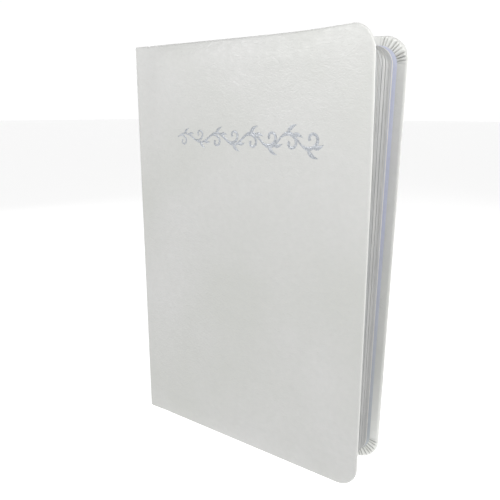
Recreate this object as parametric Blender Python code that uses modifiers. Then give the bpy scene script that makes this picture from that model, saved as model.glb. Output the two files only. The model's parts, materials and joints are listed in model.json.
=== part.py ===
"""A limp-bound Bible in white imitation leather, standing upright on the tail of its covers.

X runs from the spine to the fore-edge, Y from the front cover to the back cover and Z from tail to head.
The origin is on the ground under the middle of the book. Every sheet is first laid out flat, with its
depth counted inwards from the outer face of the cover on its own side, and then bent: the back cover
splays open towards the head, the pages fan after it, and the front cover curls at one corner.
"""

import math

import bmesh
import bpy
from mathutils import Matrix, Vector

MM = 0.001

# The whole book
COVER_WIDTH = 140 * MM
COVER_HEIGHT = 210 * MM
BOOK_THICKNESS = 25.6 * MM
SPINE_X = -COVER_WIDTH / 2
MIDDLE_Y = -5.0 * MM  # the middle of the spine, which the splay of the back cover sets off centre

# The bends, each the greatest distance out of flat
BACK_SPLAY = 12.6 * MM
PAGE_FAN = 8.5 * MM
FLYLEAF_FAN = 8.9 * MM
FRONT_CURL = 3.6 * MM
TAIL_SHARE = 0.3  # of the splay and the fan, that which is left at the tail

# The covers, in layers from the outside inwards
LEATHER = 0.5 * MM
BOARD = 0.8 * MM
LAYER_GAP = 0.1 * MM
COVER_DEPTH = 2 * (LEATHER + LAYER_GAP) + BOARD
TURN_IN = 14.0 * MM
INFILL = 0.45 * MM
PASTEDOWN = 0.2 * MM
PASTEDOWN_GAP = 0.15 * MM
PASTEDOWN_MARGIN = 4.2 * MM
CORNER_RADIUS = {"front": 10.5 * MM, "back": 11.0 * MM}
REACH = {"front": COVER_WIDTH, "back": COVER_WIDTH - 1.4 * MM}  # the bowed back cover reaches less far
HINGE_X = SPINE_X + 4.0 * MM  # the covers turn about lines on their outer faces
HINGE_GAP = 0.25 * MM
BOARD_SPINE_EDGE = SPINE_X + 11.0 * MM

# The text block
SQUARE = 4.4 * MM  # how far the covers stand out past the pages at head and tail
PAGE_SPINE_X = SPINE_X + 2.1 * MM
PAGE_FORE_X = SPINE_X + 134.0 * MM
PAGE_RADIUS = 9.0 * MM
GATHERINGS_PER_HALF = 10
FIRST_GATHERING = 2.9 * MM
GATHERING_GAP = 0.12 * MM
FLYLEAF_DEPTH = 2.5 * MM
FLYLEAF = 0.2 * MM
FLYLEAF_FOLD_X = SPINE_X + 10.0 * MM

# The spine, in layers from the outside inwards
SPINE_CORNER = 3.0 * MM
HALF_GAP = 0.12 * MM
INLAY = (0.65 * MM, 1.05 * MM)
INLAY_EDGE = 3.2 * MM
INLAY_ENDS = 1.0 * MM
MULL = (1.2 * MM, 1.5 * MM)
MULL_EDGE = 3.4 * MM
MULL_ENDS = 15.0 * MM
THREAD = (1.65 * MM, 1.95 * MM)
THREAD_STATIONS = 5
THREAD_WIDTH = 1.2 * MM
THREAD_ENDS = 24.0 * MM
STITCH_INSET = 0.05 * MM
HEADBAND_RADIUS = 1.0 * MM
HEADBAND_GAP = 0.25 * MM
HEADBAND_SIDES = 10

# The foil sprig on the front cover
SPRIG_CENTRE = Vector((SPINE_X + 73.5 * MM, 164.0 * MM))
SPRIG_LENGTH = 84.0 * MM
SPRIG_WAVE = 2.4 * MM
SPRIG_STEM = 1.0 * MM
SPRIG_LEAVES = 9
LEAF_LENGTH = 8.5 * MM
LEAF_WIDTH = 2.9 * MM
LEAF_ANGLE = math.radians(38)
SMALLEST_LEAF = 0.62
LEAF_INSET = 0.02 * MM
FOIL = 0.16 * MM
FOIL_GAP = 0.1 * MM

# Where a sheet is cut so that it can bend, as shares of the width and height of a cover
COVER_GRID = ((0.2, 0.4, 0.56, 0.7, 0.82, 0.92), (0.15, 0.3, 0.45, 0.6, 0.72, 0.82, 0.91, 0.965))
PAGE_GRID = ((0.2, 0.4, 0.6, 0.8), (0.16, 0.32, 0.48, 0.64, 0.78, 0.9))

SIDES = {"front": 1, "back": -1}
ROUND_STEPS = 4
SHARP_ANGLE = math.radians(40)


def clear_scene():
    for obj in list(bpy.data.objects):
        bpy.data.objects.remove(obj, do_unlink=True)
    for group in list(bpy.data.collections):
        bpy.data.collections.remove(group)


def new_collection(name):
    group = bpy.data.collections.new(name)
    bpy.context.scene.collection.children.link(group)
    return group


def material(name, colour, roughness, metallic=0.0):
    made = bpy.data.materials.new(name)
    made.use_nodes = True
    shader = made.node_tree.nodes["Principled BSDF"]
    shader.inputs["Base Color"].default_value = (*colour, 1.0)
    shader.inputs["Roughness"].default_value = roughness
    shader.inputs["Metallic"].default_value = metallic
    return made


# Bends

def along(x):
    """0 at the spine and 1 at the fore-edge."""
    return max(0.0, (x - SPINE_X) / COVER_WIDTH)


def splay(x, z):
    """The common shape of the back cover's splay and the pages' fan, 1 at the head's fore-edge."""
    return along(x) ** 2 * (TAIL_SHARE + (1 - TAIL_SHARE) * z / COVER_HEIGHT)


def flat(x, y, z):
    return 0.0


def bend_front(x, y, z):
    return -FRONT_CURL * along(x) ** 3 * max(0.0, z / COVER_HEIGHT) ** 6


def bend_back(x, y, z):
    return BACK_SPLAY * splay(x, z)


def bend_pages(x, y, z):
    """The fan grows from nothing at the first page to its full size at the last."""
    half = BOOK_THICKNESS / 2 - FIRST_GATHERING
    return PAGE_FAN * splay(x, z) * (y - MIDDLE_Y + half) / (2 * half)


def bend_back_flyleaf(x, y, z):
    return FLYLEAF_FAN * splay(x, z)


BEND_COVER = {"front": bend_front, "back": bend_back}
BEND_FLYLEAF = {"front": flat, "back": bend_back_flyleaf}


# Flat sheets, whose y holds the depth

def slab(x_range, z_range, d_range, radius=0.0):
    """A flat sheet whose two fore-edge corners are rounded."""
    bm = bmesh.new()
    low = Vector((x_range[0], d_range[0], z_range[0]))
    high = Vector((x_range[1], d_range[1], z_range[1]))
    place = Matrix.Translation((low + high) / 2) @ Matrix.Diagonal((*(high - low), 1.0))
    bmesh.ops.create_cube(bm, size=1.0, matrix=place)
    if radius:
        tolerance = 0.001 * MM
        corners = [
            e for e in bm.edges
            if all(abs(v.co.x - high.x) < tolerance for v in e.verts)
            and abs(e.verts[0].co.z - e.verts[1].co.z) < tolerance
        ]
        bmesh.ops.bevel(
            bm, geom=corners, offset=radius, offset_type="OFFSET",
            segments=ROUND_STEPS, profile=0.5, affect="EDGES",
        )
    return bm


def cut_grid(bm, grid):
    """Cut along a grid laid over the whole sheet, so that neighbouring sheets bend alike."""
    columns, rows = grid
    cuts = [(Vector((SPINE_X + COVER_WIDTH * share, 0, 0)), Vector((1, 0, 0))) for share in columns]
    cuts += [(Vector((0, 0, COVER_HEIGHT * share)), Vector((0, 0, 1))) for share in rows]
    for point, normal in cuts:
        everything = bm.verts[:] + bm.edges[:] + bm.faces[:]
        bmesh.ops.bisect_plane(bm, geom=everything, plane_co=point, plane_no=normal, dist=0.01 * MM)


def split_quads(bm):
    """Cut every four-sided face of the broad sides along the same diagonal."""
    broad = [f for f in bm.faces if len(f.verts) == 4 and abs(f.normal.y) > 0.9]
    for face in broad:
        low = min(face.verts, key=lambda v: v.co.x + v.co.z)
        high = max(face.verts, key=lambda v: v.co.x + v.co.z)
        if high not in (low.link_loops[0].link_loop_next.vert, low.link_loops[0].link_loop_prev.vert):
            bmesh.utils.face_split(face, low, high)


def stand_up(bm, side, bend):
    """Turn depths into places on this side of the book, and bend the sheet."""
    sign = SIDES[side]
    for v in bm.verts:
        v.co.y = MIDDLE_Y + sign * (v.co.y - BOOK_THICKNESS / 2)
        v.co.y += bend(*v.co)
    if sign < 0:
        bmesh.ops.reverse_faces(bm, faces=bm.faces)


def finish(bm, name, look, hinge, group):
    """Make a mesh an object that turns about its hinge."""
    bmesh.ops.triangulate(bm, faces=[f for f in bm.faces if len(f.verts) > 4])
    pivot = hinge.matrix_world.translation
    bmesh.ops.translate(bm, verts=bm.verts, vec=-pivot)
    mesh = bpy.data.meshes.new(name)
    bm.to_mesh(mesh)
    bm.free()
    mesh.materials.append(look)
    mesh.shade_smooth()
    mesh.set_sharp_from_angle(angle=SHARP_ANGLE)
    obj = bpy.data.objects.new(name, mesh)
    obj.parent = hinge
    group.objects.link(obj)
    return obj


def temporary_object(bm, name, group):
    mesh = bpy.data.meshes.new(name)
    bm.to_mesh(mesh)
    bm.free()
    obj = bpy.data.objects.new(name, mesh)
    group.objects.link(obj)
    return obj


def cutter(bm, name, group):
    obj = temporary_object(bm, name, group)
    obj.hide_render = True
    obj.display_type = "WIRE"
    return obj


def combined(bm, others, operation, group):
    """The flat solid after a Boolean with each of the other objects."""
    base = temporary_object(bm, "base", group)
    for other in others:
        step = base.modifiers.new(other.name, "BOOLEAN")
        step.operation = operation
        step.solver = "EXACT"
        step.object = other
    bpy.context.view_layer.update()
    evaluated = base.evaluated_get(bpy.context.evaluated_depsgraph_get())
    result = bmesh.new()
    result.from_mesh(evaluated.to_mesh())
    evaluated.to_mesh_clear()
    bpy.data.objects.remove(base, do_unlink=True)
    return result


# Covers

def cover_skin(side, group, cutters):
    """The leather: an outer sheet whose edges are turned in round the board on three sides."""
    far = SPINE_X + REACH[side]
    radius = CORNER_RADIUS[side]
    body = slab((HINGE_X + HINGE_GAP, far), (0, COVER_HEIGHT), (0, COVER_DEPTH), radius)
    pocket = slab(
        (SPINE_X, far - LEATHER), (LEATHER, COVER_HEIGHT - LEATHER),
        (LEATHER, COVER_DEPTH - LEATHER), radius - LEATHER,
    )
    window = slab(
        (SPINE_X, far - TURN_IN), (TURN_IN, COVER_HEIGHT - TURN_IN), (2 * LEATHER, COVER_DEPTH + LEATHER),
    )
    tools = [
        cutter(pocket, f"{side}_board_pocket", cutters),
        cutter(window, f"{side}_turn_in_window", cutters),
    ]
    return combined(body, tools, "DIFFERENCE", group)


def cover_layers(side):
    """The flat sheets inside a cover, by name."""
    far = SPINE_X + REACH[side]
    radius = CORNER_RADIUS[side]
    board_edge = LEATHER + 2 * LAYER_GAP
    board_depth = LEATHER + LAYER_GAP
    infill_edge = TURN_IN + 3 * LAYER_GAP
    infill_depth = board_depth + BOARD + LAYER_GAP
    paper_depth = COVER_DEPTH + PASTEDOWN_GAP
    return {
        "board": slab(
            (BOARD_SPINE_EDGE, far - board_edge), (board_edge, COVER_HEIGHT - board_edge),
            (board_depth, board_depth + BOARD), radius - board_edge,
        ),
        "infill": slab(
            (BOARD_SPINE_EDGE, far - infill_edge), (infill_edge, COVER_HEIGHT - infill_edge),
            (infill_depth, infill_depth + INFILL),
        ),
        "pastedown": slab(
            (BOARD_SPINE_EDGE, far - PASTEDOWN_MARGIN), (PASTEDOWN_MARGIN, COVER_HEIGHT - PASTEDOWN_MARGIN),
            (paper_depth, paper_depth + PASTEDOWN), radius - PASTEDOWN_MARGIN / 2,
        ),
    }


def build_cover(side, hinge, looks, group, cutters):
    pieces = {"skin": cover_skin(side, group, cutters), **cover_layers(side)}
    for part, bm in pieces.items():
        cut_grid(bm, COVER_GRID)
        split_quads(bm)
        stand_up(bm, side, BEND_COVER[side])
        finish(bm, f"{side}_cover_{part}", looks[part], hinge, group)


# Text block

def page_sheet(side, x_low, d_range, bend):
    bm = slab((x_low, PAGE_FORE_X), (SQUARE, COVER_HEIGHT - SQUARE), d_range, PAGE_RADIUS)
    cut_grid(bm, PAGE_GRID)
    split_quads(bm)
    stand_up(bm, side, bend)
    return bm


def build_half_block(side, hinge, looks, group):
    """Half of the sewn gatherings, numbered from the front of the book."""
    pitch = (BOOK_THICKNESS / 2 - FIRST_GATHERING) / GATHERINGS_PER_HALF
    for k in range(GATHERINGS_PER_HALF):
        depth = FIRST_GATHERING + k * pitch
        number = k + 1 if side == "front" else 2 * GATHERINGS_PER_HALF - k
        bm = page_sheet(side, PAGE_SPINE_X, (depth, depth + pitch - GATHERING_GAP), bend_pages)
        finish(bm, f"gathering_{number:02d}", looks["pages"], hinge, group)


def build_flyleaf(side, hinge, looks, group):
    d_range = (FLYLEAF_DEPTH, FLYLEAF_DEPTH + FLYLEAF)
    bm = page_sheet(side, FLYLEAF_FOLD_X, d_range, BEND_FLYLEAF[side])
    finish(bm, f"{side}_flyleaf", looks["pastedown"], hinge, group)


def build_flyleaf_strip(side, hinge, looks, group):
    """The strip of the endpaper that is tipped on to the outer gathering."""
    bm = slab(
        (PAGE_SPINE_X, FLYLEAF_FOLD_X - LAYER_GAP), (SQUARE, COVER_HEIGHT - SQUARE),
        (FLYLEAF_DEPTH, FLYLEAF_DEPTH + FLYLEAF),
    )
    cut_grid(bm, PAGE_GRID)
    split_quads(bm)
    stand_up(bm, side, BEND_FLYLEAF[side])
    finish(bm, f"{side}_endpaper_strip", looks["pastedown"], hinge, group)


# Spine

def spine_outline():
    """The outer face of half the spine, from the cover's hinge round the corner to the middle."""
    points = [Vector((HINGE_X - HINGE_GAP, 0, 0))]
    centre = Vector((SPINE_X + SPINE_CORNER, SPINE_CORNER, 0))
    for i in range(ROUND_STEPS + 1):
        angle = math.radians(270 - 90 * i / ROUND_STEPS)
        points.append(centre + SPINE_CORNER * Vector((math.cos(angle), math.sin(angle), 0)))
    points.append(Vector((SPINE_X, BOOK_THICKNESS / 2 - HALF_GAP, 0)))
    return points


def thickened(bm, thickness, group):
    """The open surface given a thickness, inwards from its outer face."""
    sheet = temporary_object(bm, "sheet", group)
    solid = sheet.modifiers.new("thickness", "SOLIDIFY")
    solid.thickness = thickness
    solid.offset = -1.0
    solid.use_even_offset = True
    bpy.context.view_layer.update()
    evaluated = sheet.evaluated_get(bpy.context.evaluated_depsgraph_get())
    result = bmesh.new()
    result.from_mesh(evaluated.to_mesh())
    evaluated.to_mesh_clear()
    bpy.data.objects.remove(sheet, do_unlink=True)
    return result


def build_spine_leather(side, hinge, looks, group):
    bm = bmesh.new()
    verts = [bm.verts.new(point) for point in spine_outline()]
    edges = [bm.edges.new(pair) for pair in zip(verts, verts[1:])]
    swept = bmesh.ops.extrude_edge_only(bm, edges=edges)["geom"]
    raised = [v for v in swept if isinstance(v, bmesh.types.BMVert)]
    bmesh.ops.translate(bm, verts=raised, vec=(0, 0, COVER_HEIGHT))
    bmesh.ops.recalc_face_normals(bm, faces=bm.faces)
    # the back of the spine has to face -X before it is thickened inwards
    rear = min(bm.faces, key=lambda f: f.calc_center_median().x)
    if rear.normal.x > 0:
        bmesh.ops.reverse_faces(bm, faces=bm.faces)
    solid = thickened(bm, LEATHER, group)
    stand_up(solid, side, flat)
    finish(solid, f"{side}_spine_leather", looks["skin"], hinge, group)


def spine_strip(layer, ends, edge):
    """Half of a layer of the spine, which stops short of the covers at its ends and its edge."""
    return slab(
        (SPINE_X + layer[0], SPINE_X + layer[1]), (ends, COVER_HEIGHT - ends),
        (edge, BOOK_THICKNESS / 2 - HALF_GAP),
    )


def sewing_thread(group, cutters):
    """Stitches across the folds of the gatherings, joined by a run along the outer one."""
    low, high = THREAD_ENDS, COVER_HEIGHT - THREAD_ENDS
    run = slab(
        (SPINE_X + THREAD[0], SPINE_X + THREAD[1]), (low, high),
        (FIRST_GATHERING + THREAD_WIDTH, FIRST_GATHERING + 2 * THREAD_WIDTH),
    )
    stitches = []
    for i in range(THREAD_STATIONS):
        z = low + (high - low) * (i + 0.5) / THREAD_STATIONS
        bar = slab(
            (SPINE_X + THREAD[0] + STITCH_INSET, SPINE_X + THREAD[1] - STITCH_INSET),
            (z - THREAD_WIDTH / 2, z + THREAD_WIDTH / 2),
            (FIRST_GATHERING, BOOK_THICKNESS / 2 - HALF_GAP),
        )
        stitches.append(cutter(bar, f"stitch_{i + 1}", cutters))
    thread = combined(run, stitches, "UNION", group)
    for stitch in stitches:
        bpy.data.objects.remove(stitch, do_unlink=True)
    return thread


def build_headband(side, end, hinge, looks, group):
    """Half of the cord across the head or the tail of the spine."""
    lift = HEADBAND_RADIUS + HEADBAND_GAP
    z = COVER_HEIGHT - SQUARE + lift if end == "head" else SQUARE - lift
    bm = bmesh.new()
    low, high = FIRST_GATHERING, BOOK_THICKNESS / 2 - HALF_GAP
    turn = Matrix.Rotation(math.radians(90), 4, "X")
    place = Matrix.Translation((PAGE_SPINE_X + HEADBAND_RADIUS, (low + high) / 2, z)) @ turn
    bmesh.ops.create_cone(
        bm, cap_ends=True, segments=HEADBAND_SIDES, radius1=HEADBAND_RADIUS, radius2=HEADBAND_RADIUS,
        depth=high - low, matrix=place,
    )
    stand_up(bm, side, flat)
    finish(bm, f"{side}_{end}band", looks["headband"], hinge, group)


def build_spine(side, hinge, looks, group, cutters):
    build_spine_leather(side, hinge, looks, group)
    layers = {
        "spine_inlay": (spine_strip(INLAY, INLAY_ENDS, INLAY_EDGE), "board"),
        "spine_mull": (spine_strip(MULL, MULL_ENDS, MULL_EDGE), "mull"),
        "sewing_thread": (sewing_thread(group, cutters), "thread"),
    }
    for part, (bm, look) in layers.items():
        stand_up(bm, side, flat)
        finish(bm, f"{side}_{part}", looks[look], hinge, group)
    for end in ("head", "tail"):
        build_headband(side, end, hinge, looks, group)


# Foil sprig

def stem_point(t):
    """The stem's middle line, for t from 0 to 1: a long shallow wave."""
    x = SPRIG_CENTRE.x + SPRIG_LENGTH * (t - 0.5)
    z = SPRIG_CENTRE.y + SPRIG_WAVE * math.sin(2 * math.pi * t)
    return Vector((x, z))


def stem_direction(t):
    return (stem_point(t + 0.001) - stem_point(t - 0.001)).normalized()


def prism(outline, d_range):
    """A flat outline of (x, z) points made into a plate."""
    bm = bmesh.new()
    face = bm.faces.new([bm.verts.new((x, d_range[0], z)) for x, z in outline])
    raised = bmesh.ops.extrude_face_region(bm, geom=[face])["geom"]
    verts = [v for v in raised if isinstance(v, bmesh.types.BMVert)]
    bmesh.ops.translate(bm, verts=verts, vec=(0, d_range[1] - d_range[0], 0))
    bmesh.ops.recalc_face_normals(bm, faces=bm.faces)
    return bm


def stem_outline(steps=20):
    """A ribbon that tapers to both ends."""
    upper, lower = [], []
    for i in range(steps + 1):
        t = i / steps
        direction = stem_direction(t)
        normal = Vector((-direction.y, direction.x))
        half = SPRIG_STEM * (0.25 + 0.25 * math.sin(math.pi * t))
        upper.append(stem_point(t) + normal * half)
        lower.append(stem_point(t) - normal * half)
    return upper + lower[::-1]


def leaf_outline(t, turn, size, steps=5):
    """A pointed leaf that grows from the stem at t: up one side and down the other."""
    base = stem_point(t)
    direction = Matrix.Rotation(turn, 2) @ stem_direction(t)
    normal = Vector((-direction.y, direction.x))
    points = []
    for i in range(2 * steps):
        share = i / steps if i <= steps else 2 - i / steps
        half = LEAF_WIDTH * size / 2 * math.sin(math.pi * i / steps)
        points.append(base + direction * (LEAF_LENGTH * size * share) + normal * half)
    return points


def build_sprig(hinge, looks, group, cutters):
    base = -(FOIL_GAP + FOIL)
    stem = prism(stem_outline(), (base, base + FOIL))
    leaves = []
    for i in range(SPRIG_LEAVES):
        t = (i + 0.7) / (SPRIG_LEAVES + 0.7)
        size = SMALLEST_LEAF + (1 - SMALLEST_LEAF) * math.sin(math.pi * t)
        for way in (1, -1):
            outline = leaf_outline(t, way * LEAF_ANGLE, size)
            bm = prism(outline, (base + LEAF_INSET, base + FOIL - LEAF_INSET))
            leaves.append(cutter(bm, f"leaf_{i}_{way}", cutters))
    sprig = combined(stem, leaves, "UNION", group)
    for leaf in leaves:
        bpy.data.objects.remove(leaf, do_unlink=True)
    stand_up(sprig, "front", bend_front)
    finish(sprig, "front_foil_sprig", looks["foil"], hinge, group)


# Assembly

def hinge_empty(name, place, parent, group):
    empty = bpy.data.objects.new(name, None)
    empty.empty_display_size = 10 * MM
    empty.parent = parent
    empty.location = Vector(place) - (parent.matrix_world.translation if parent else Vector())
    group.objects.link(empty)
    bpy.context.view_layer.update()
    return empty


def hinge_place(side, x, depth):
    return (x, MIDDLE_Y + SIDES[side] * (depth - BOOK_THICKNESS / 2), 0.0)


def main():
    clear_scene()
    group = new_collection("Bible")
    cutters = new_collection("Bible cutters")
    looks = {
        "skin": material("white_leather", (0.72, 0.72, 0.69), 0.42),
        "board": material("cover_board", (0.55, 0.52, 0.46), 0.9),
        "infill": material("infill_paper", (0.70, 0.68, 0.62), 0.9),
        "pastedown": material("lavender_endpaper", (0.47, 0.49, 0.62), 0.7),
        "pages": material("silvered_pages", (0.50, 0.51, 0.52), 0.35, 0.6),
        "mull": material("mull_gauze", (0.75, 0.72, 0.62), 0.95),
        "thread": material("linen_thread", (0.80, 0.78, 0.72), 0.8),
        "headband": material("headband_cord", (0.78, 0.78, 0.80), 0.5),
        "foil": material("silver_foil", (0.55, 0.57, 0.60), 0.3, 1.0),
    }
    root = hinge_empty("book", (0, 0, 0), None, group)
    opening = hinge_empty("spine_fold", (SPINE_X, MIDDLE_Y, 0), root, group)
    half_hinge = {"front": opening, "back": root}
    for side in SIDES:
        half = half_hinge[side]
        cover_place = hinge_place(side, HINGE_X, 0.0)
        cover_hinge = hinge_empty(f"{side}_cover_hinge", cover_place, half, group)
        leaf_place = hinge_place(side, FLYLEAF_FOLD_X, FLYLEAF_DEPTH)
        leaf_hinge = hinge_empty(f"{side}_flyleaf_fold", leaf_place, half, group)
        build_cover(side, cover_hinge, looks, group, cutters)
        build_flyleaf(side, leaf_hinge, looks, group)
        build_flyleaf_strip(side, half, looks, group)
        build_half_block(side, half, looks, group)
        build_spine(side, half, looks, group, cutters)
        if side == "front":
            build_sprig(cover_hinge, looks, group, cutters)


main()
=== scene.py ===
"""The looks of a limp Bible in white imitation leather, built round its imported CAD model.

Each sheet is laid out flat, as (u, z) with a depth below the outer face of its own cover, and then placed:
u runs along the face from the fore-edge to the spine and on round the corner of the spine.
"""

import json
import math

import bpy
import numpy as np
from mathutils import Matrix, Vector


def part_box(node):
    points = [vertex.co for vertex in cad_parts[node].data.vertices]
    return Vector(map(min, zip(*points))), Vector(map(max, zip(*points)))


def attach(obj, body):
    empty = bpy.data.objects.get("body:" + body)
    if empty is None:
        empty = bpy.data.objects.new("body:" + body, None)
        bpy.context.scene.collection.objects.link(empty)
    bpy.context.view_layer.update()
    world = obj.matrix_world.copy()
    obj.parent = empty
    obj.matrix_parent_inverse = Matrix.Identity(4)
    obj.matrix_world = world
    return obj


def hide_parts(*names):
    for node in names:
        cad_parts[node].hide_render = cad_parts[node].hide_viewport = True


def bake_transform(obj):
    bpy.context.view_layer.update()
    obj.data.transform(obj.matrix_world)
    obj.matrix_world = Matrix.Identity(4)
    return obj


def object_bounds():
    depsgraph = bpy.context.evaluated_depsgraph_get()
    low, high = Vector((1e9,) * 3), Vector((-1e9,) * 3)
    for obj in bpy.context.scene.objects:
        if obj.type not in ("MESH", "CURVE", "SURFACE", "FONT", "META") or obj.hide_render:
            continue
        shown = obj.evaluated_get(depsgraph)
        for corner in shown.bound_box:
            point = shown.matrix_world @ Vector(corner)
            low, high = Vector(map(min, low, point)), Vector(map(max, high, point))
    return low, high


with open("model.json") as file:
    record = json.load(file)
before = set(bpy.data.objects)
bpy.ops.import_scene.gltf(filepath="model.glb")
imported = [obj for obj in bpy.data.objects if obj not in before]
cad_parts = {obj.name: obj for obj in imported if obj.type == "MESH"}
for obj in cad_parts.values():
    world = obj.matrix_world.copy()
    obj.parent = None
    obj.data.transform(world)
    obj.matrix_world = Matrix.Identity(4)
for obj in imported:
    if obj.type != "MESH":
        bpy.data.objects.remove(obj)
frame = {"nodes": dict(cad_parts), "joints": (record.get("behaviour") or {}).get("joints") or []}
CAD_LOW, CAD_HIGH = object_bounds()

MM = 0.001

# Taken from the frame
SPINE_X = CAD_LOW[0]
FORE_X = CAD_HIGH[0]
HEIGHT = CAD_HIGH[2]
WIDTH = FORE_X - SPINE_X
FACE_Y = {"front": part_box("front_spine_leather")[0].y, "back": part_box("back_spine_leather")[1].y}
THICKNESS = FACE_Y["back"] - FACE_Y["front"]
MIDDLE_Y = (FACE_Y["front"] + FACE_Y["back"]) / 2
REACH_X = {side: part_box(f"{side}_cover_skin")[1].x for side in ("front", "back")}
PAGE_LOW, PAGE_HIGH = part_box("gathering_01")
HINGE_X = next(j["pos_m"][0] for j in frame["joints"] if j["name"] == "front_cover_hinge")
SIGN = {"front": 1, "back": -1}
HALF = {"front": "front_half", "back": "rear_half"}

# The bends of the CAD sheets, at the fore-edge of the head
BACK_SPLAY = 12.6 * MM
PAGE_FAN = 8.5 * MM
FLYLEAF_FAN = 8.9 * MM
FRONT_CURL = 3.6 * MM
TAIL_SHARE = 0.3  # of the back cover's splay that is left at the tail
PAGE_TAIL_SHARE = 0.1  # the leaves close up more than the back cover does

# Leather
COVER_DEPTH = 2.0 * MM
JOINT_DEPTH = 1.1 * MM
LEATHER = 0.45 * MM
CORNER_RADIUS = {"front": 10.5 * MM, "back": 11.0 * MM}
CORNER_ZONE = 13.0 * MM  # the pleats spread this far along both edges
TURN_IN = 14.0 * MM
MARGIN = 4.2 * MM  # what the pastedown leaves uncovered of the turn-in
SPINE_CORNER = 3.0 * MM
SEAM_DEPTH = 4.5 * MM  # where a cover's leather meets that of the spine's back
JOINT_END_X = SPINE_X + 13.0 * MM  # sheets have finer grids up to here
BOARD_EDGE_X = SPINE_X + 11.0 * MM
PLEATS = 10
STEPS_PER_PLEAT = 9
PLEAT_HEIGHT = 1.15 * MM
PLEAT_MIDDLE = 0.62  # the height of a fold's wave that lies in the leather's plane
CREASE_SHARPNESS = 0.42
SPINE_BULGE = 0.5 * MM
SMOOTH_UP_TO = 70  # degrees between two faces of leather
LEATHER_STEP = 1.9 * MM  # of the grid, along the spine

# The leather's relief; swells are long waves and wrinkles are short ones
PADDING = 0.7 * MM
PADDING_EDGE = 8 * MM
HEAD_ROLL = 13.0 * MM  # over this length the padding thins towards the head
HEAD_ROLL_SHARE = 0.9  # of the padding, which is gone at the head
SWELL, SWELL_LENGTH = 0.10 * MM, 46 * MM
WRINKLE, WRINKLE_LENGTH = 0.028 * MM, 10 * MM
EDGE_FADE = 4 * MM  # waves and the turn-in's ridge die out this far inside the outline
TURN_IN_RIDGE = 0.11 * MM
EDGE_DROP, EDGE_DROP_WIDTH = 0.12 * MM, 1.3 * MM
JOINT_DROP = 0.10 * MM
GROOVE, GROOVE_X, GROOVE_WIDTH = 0.06 * MM, SPINE_X + 7.0 * MM, 2.2 * MM
HEAD_RISE = 1.7 * MM
HEAD_RISE_X = SPINE_X + 90 * MM

# Painted light on the leather, as a lighter colour from 0 to 1: a painted highlight along the rounded rim,
# and painted light on the turn-in
RIM_PAINTED_HIGHLIGHT = 0.65
END_PAINTED_LIGHT = 0.55  # of the turn-in, at the head and the tail
END_BLUR = 9 * MM  # over this height that comes in
MIDDLE_PAINTED_LIGHT = 0.25  # of the turn-in, which it comes to between these two heights
MIDDLE_FROM, MIDDLE_TO = 150 * MM, 90 * MM
TAIL_PAINTED_LIGHT_FROM, TAIL_PAINTED_LIGHT_TO = 62 * MM, 7 * MM  # and between these it goes on to 1
CREASE_SHADE_LESS_AT_HEAD = 0.6  # of their painted shade is missing there

# Pages
FIRST_GATHERING = 2.9 * MM
GATHERINGS_PER_HALF = 10
PAGE_GAP = 0.12 * MM
LEAF_SPREAD = 0.5  # how much of its share of the fan opens inside a gathering
BUNDLE = 3  # gatherings that stay close together
BUNDLE_HOLD = 0.55
BUNDLE_GAP = 0.35 * MM
PAGE_RADIUS = 9.0 * MM
LEAF_LINES = 11  # the ridges on a gathering's edge
LEAF_INSET = 0.02 * MM
LEAF_RIDGE = 0.12 * MM
LEAF_RIDGE_SHARE = 0.6  # of the lines stand back at random, by up to that
GATHERING_SHOULDER = 0.16 * MM
UNEVEN_REACH = 0.25 * MM
BACK_UV_START = 0.05  # so that the two halves do not show the same streaks
FLYLEAF_DEPTH = 2.5 * MM
PAPER = 0.14 * MM
PASTEDOWN_GAP = 0.22 * MM  # below the cover's inner face, and as much again over its joint
FLYLEAF = 0.3 * MM


# Bends and surfaces

def along(x):
    """How far a point is from the spine, as a share of the width."""
    return np.maximum(0.0, (x - SPINE_X) / WIDTH)


def splay(x, z, tail=TAIL_SHARE):
    """The shape that the back cover and the leaves bend in, of 1 at the fore-edge of the head."""
    return along(x) ** 2 * (tail + (1 - tail) * z / HEIGHT)


def bend_front(x, z):
    """The front cover curls forward at the corner of its head."""
    return -FRONT_CURL * along(x) ** 3 * np.maximum(0.0, z / HEIGHT) ** 6


def bend_back(x, z):
    return BACK_SPLAY * splay(x, z)


BEND = {"front": bend_front, "back": bend_back}


def ripple(u, v, wavelength, seed, count=14):
    """A smooth random height, mostly within 1, whose waves are about this long and run in all
    directions."""
    rng = np.random.default_rng(seed)
    total = np.zeros(np.shape(u))
    for _ in range(count):
        heading, phase = rng.uniform(0, 2 * math.pi, 2)
        number = 2 * math.pi / (wavelength * rng.uniform(0.7, 1.5))
        total += np.sin(number * (u * math.cos(heading) + v * math.sin(heading)) + phase)
    return total / math.sqrt(count)


def step_up(value):
    """0 below 0, 1 above 1, and smooth between."""
    t = np.clip(value, 0.0, 1.0)
    return t * t * (3 - 2 * t)


def inset(u, z, side):
    """How far a point of a cover's face lies inside the cover's outline."""
    radius = CORNER_RADIUS[side]
    from_fore = REACH_X[side] - u
    from_end = np.minimum(z, HEIGHT - z)
    corner = radius - np.hypot(np.maximum(radius - from_fore, 0), np.maximum(radius - from_end, 0))
    straight = np.minimum(from_fore, from_end)
    return np.where((from_fore < radius) & (from_end < radius), corner, straight)


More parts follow.
